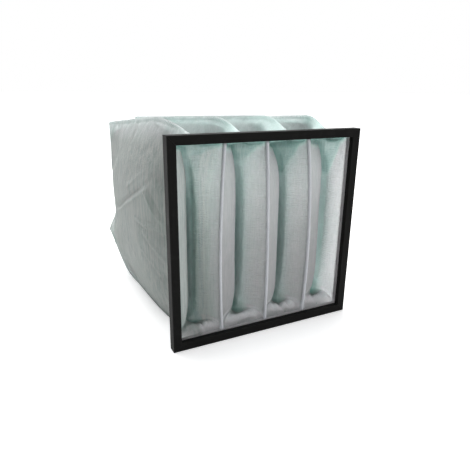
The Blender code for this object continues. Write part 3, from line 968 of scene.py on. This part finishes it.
def pressFolds(piece):
    # a finer mesh of the first pocket takes the sharp folds of its outer wall
    bpy.ops.object.select_all(action="DESELECT")
    bpy.context.view_layer.objects.active = piece
    piece.select_set(True)
    finer = piece.modifiers.new("finer", "SUBSURF")
    finer.subdivision_type = "SIMPLE"
    finer.levels = 1
    bpy.ops.object.modifier_apply(modifier=finer.name)
    piece.select_set(False)
    mesh = piece.data
    depths, shares, folded = (mesh.attributes[name].data for name in ("depthAt", "shareAt", "folded"))
    for vertex, depth, share, mark in zip(mesh.vertices, depths, shares, folded):
        if mark.value > 0.99:
            free = ease(depth.value, 0.05, 0.03) * ease((tailEnd - depth.value) / 0.05)
            calm = 1 - ease(abs(share.value), 0.85, 0.1)
            vertex.co.x -= pressedAt(share.value, depth.value) * free * calm


for number in range(pocket["count"]):
    piece = buildPocket(number)
    if number == 0:
        pressFolds(piece)
    panels = ["pocket_%d_%s" % (number + 1, side) for side in ("left", "right")]
    finishPiece(piece, fabric, panels)
print("pockets made")


# folded tapes over the edges between two pockets

tapeSize = {
    "half": 0.0025,
    "nose": 0.0024,
    "depth": 0.008,
    "thickness": 0.0008,
    "gap": 0.0004,  # between the nose and the fabric
    "tuck": 0.0003,
    "waveHeight": 0.00035,
    "waveScale": 60,
    "steps": 90,
    "arc": 8,
    # the first tape spreads at its foot
    "flare": 0.0035,
    "flareHeight": 0.016,
    "flareNose": 60,
    "flareShare": 0.8,
}


def tapeSection(wide, wave, flare, noseY):
    # outline of a tape from its left edge round the nose to its right edge
    size = tapeSize
    shoulderY = noseY + size["depth"] * 0.6
    edgeY = noseY + size["depth"] + size["thickness"]
    points = [(-wide - flare, edgeY + 2 * wave), (-wide - flare * size["flareShare"], shoulderY)]
    for turn in range(size["arc"] + 1):
        angle = math.pi * turn / size["arc"]
        x = -wide * math.cos(angle) * (1 + flare * size["flareNose"])
        points.append((x, noseY + size["nose"] * (1 - math.sin(angle)) + size["gap"]))
    points.append((wide + flare * size["flareShare"], shoulderY))
    points.append((wide + flare, edgeY - 2 * wave))
    return points


def buildTape(number):
    size = tapeSize
    half = mouthHalf - pocket["pressed"] - header["clearance"]
    noseY = lipFront - header["clearance"] - size["thickness"]
    skin = bmesh.new()
    rows = []
    for step in range(size["steps"] + 1):
        height = mix(half, -half, step / size["steps"])
        flare = 0
        if number == 0:
            flare = size["flare"] * ease((-height - half + size["flareHeight"]) / size["flareHeight"])
        wave = size["waveHeight"] * noise.noise(Vector((number * 5.0, height * size["waveScale"], 0)))
        centre = dividerX(number, height)
        section = tapeSection(size["half"] - size["tuck"] + wave, wave, flare, noseY)
        rows.append([skin.verts.new((centre + x, y, middleHeight + height)) for x, y in section])
    for row, following in zip(rows, rows[1:]):
        for first, second, third, fourth in zip(row, row[1:], following[1:], following):
            skin.faces.new((first, fourth, third, second)).smooth = True
    bmesh.ops.recalc_face_normals(skin, faces=skin.faces)
    mesh = bpy.data.meshes.new("bindingTape" + str(number + 1))
    skin.to_mesh(mesh)
    skin.free()
    piece = addMesh(mesh.name, mesh)
    bpy.ops.object.select_all(action="DESELECT")
    bpy.context.view_layer.objects.active = piece
    piece.select_set(True)
    thick = piece.modifiers.new("thickness", "SOLIDIFY")
    thick.thickness = size["thickness"]
    thick.offset = 0
    bpy.ops.object.modifier_apply(modifier=thick.name)
    piece.select_set(False)
    return piece


for number in range(pocket["count"] - 1):
    piece = buildTape(number)
    finishPiece(piece, tape, ["seam_binding_" + str(number + 1)])
print("tapes made")


# floor, light and camera

# place, target, size and power of each lamp
lamps = {
    "overheadSoftbox": ((0.1, 0.9, 2.6), (0, 0.2, 0.2), 2.6, 100),
    "frontFill": ((-1.2, -2.4, 0.55), (0, 0, 0.20), 2.4, 13),
}
studio = {
    "floorSize": 60,
    "floorDrop": 0.0004,
    "floorColour": (0.90, 0.90, 0.90),
    # the floor glows white far from the part, so that only its own shadow shows
    "floorReach": (0.7, 2.6),
    "floorGlow": (0.42, 1.0),
    "worldColour": (0.975, 0.98, 1.0),
    "worldStrength": 0.44,
    "cameraPlace": (-0.52464, -0.86574, 0.58575),
    "azimuth": -26.88,
    "elevation": 18.53,
    "roll": 0.70,
    "lens": 34.3,
}


def buildFloor():
    bpy.ops.object.select_all(action="DESELECT")
    bpy.ops.mesh.primitive_plane_add(size=studio["floorSize"], location=(0, 0, -studio["floorDrop"]))
    floor = bpy.context.object
    floor.name = "studioFloor"
    floor.select_set(False)
    n = Nodes("paleFloor")
    n.shader.inputs["Base Color"].default_value = (*studio["floorColour"], 1)
    n.constants(roughness=0.9, specular=0.1)
    rays = n.add("ShaderNodeLightPath")
    mirrored = n.sum("MAXIMUM", rays.outputs["Is Glossy Ray"], rays.outputs["Is Transmission Ray"])
    seen = n.sum("MAXIMUM", rays.outputs["Is Camera Ray"], mirrored)
    n.shader.inputs["Emission Color"].default_value = (1, 1, 1, 1)
    away = n.add("ShaderNodeVectorMath", operation="LENGTH")
    n.put(away.inputs[0], n.objectPoint())
    glow = n.span(away.outputs["Value"], *studio["floorReach"], *studio["floorGlow"])
    n.put(n.shader.inputs["Emission Strength"], n.sum("MULTIPLY", seen, glow))
    floor.data.materials.append(n.material)


def addLamp(name, place, target, size, power):
    data = bpy.data.lights.new(name, "AREA")
    data.shape = "DISK"
    data.size = size
    data.energy = power
    lamp = bpy.data.objects.new(name, data)
    lamp.location = place
    lamp.rotation_euler = (Vector(target) - Vector(place)).to_track_quat("-Z", "Y").to_euler()
    bpy.context.scene.collection.objects.link(lamp)


def lightWorld():
    world = bpy.data.worlds.new("studioWorld")
    bpy.context.scene.world = world
    world.use_nodes = True
    nodes = world.node_tree.nodes
    links = world.node_tree.links
    nodes.clear()
    rays = nodes.new("ShaderNodeLightPath")
    glossy = nodes.new("ShaderNodeMath")
    glossy.operation = "MAXIMUM"
    links.new(rays.outputs["Is Glossy Ray"], glossy.inputs[0])
    links.new(rays.outputs["Is Transmission Ray"], glossy.inputs[1])
    seen = nodes.new("ShaderNodeMath")
    seen.operation = "MAXIMUM"
    links.new(rays.outputs["Is Camera Ray"], seen.inputs[0])
    links.new(glossy.outputs[0], seen.inputs[1])
    fill = nodes.new("ShaderNodeBackground")
    fill.inputs["Color"].default_value = (*studio["worldColour"], 1)
    fill.inputs["Strength"].default_value = studio["worldStrength"]
    white = nodes.new("ShaderNodeBackground")
    white.inputs["Color"].default_value = (1, 1, 1, 1)
    choice = nodes.new("ShaderNodeMixShader")
    links.new(seen.outputs[0], choice.inputs[0])
    links.new(fill.outputs[0], choice.inputs[1])
    links.new(white.outputs[0], choice.inputs[2])
    out = nodes.new("ShaderNodeOutputWorld")
    links.new(choice.outputs[0], out.inputs["Surface"])


def addCamera():
    azimuth = math.radians(studio["azimuth"])
    elevation = math.radians(studio["elevation"])
    roll = math.radians(studio["roll"])
    level = math.cos(elevation)
    back = Vector((math.sin(azimuth) * level, -math.cos(azimuth) * level, math.sin(elevation)))
    right = Vector((math.cos(azimuth), math.sin(azimuth), 0))
    up = back.cross(right)
    turned = right * math.cos(roll) + up * math.sin(roll)
    upright = up * math.cos(roll) - right * math.sin(roll)
    data = bpy.data.cameras.new("studioCamera")
    data.lens = studio["lens"]
    data.sensor_width = 36
    data.clip_end = 50
    camera = bpy.data.objects.new("studioCamera", data)
    turn = Matrix((turned, upright, back)).transposed().to_4x4()
    camera.matrix_world = Matrix.Translation(studio["cameraPlace"]) @ turn
    bpy.context.scene.collection.objects.link(camera)
    bpy.context.scene.camera = camera


buildFloor()
lightWorld()
for name, (place, target, size, power) in lamps.items():
    addLamp(name, place, target, size, power)
addCamera()
bpy.context.scene.view_settings.view_transform = "Standard"
print("studio ready")
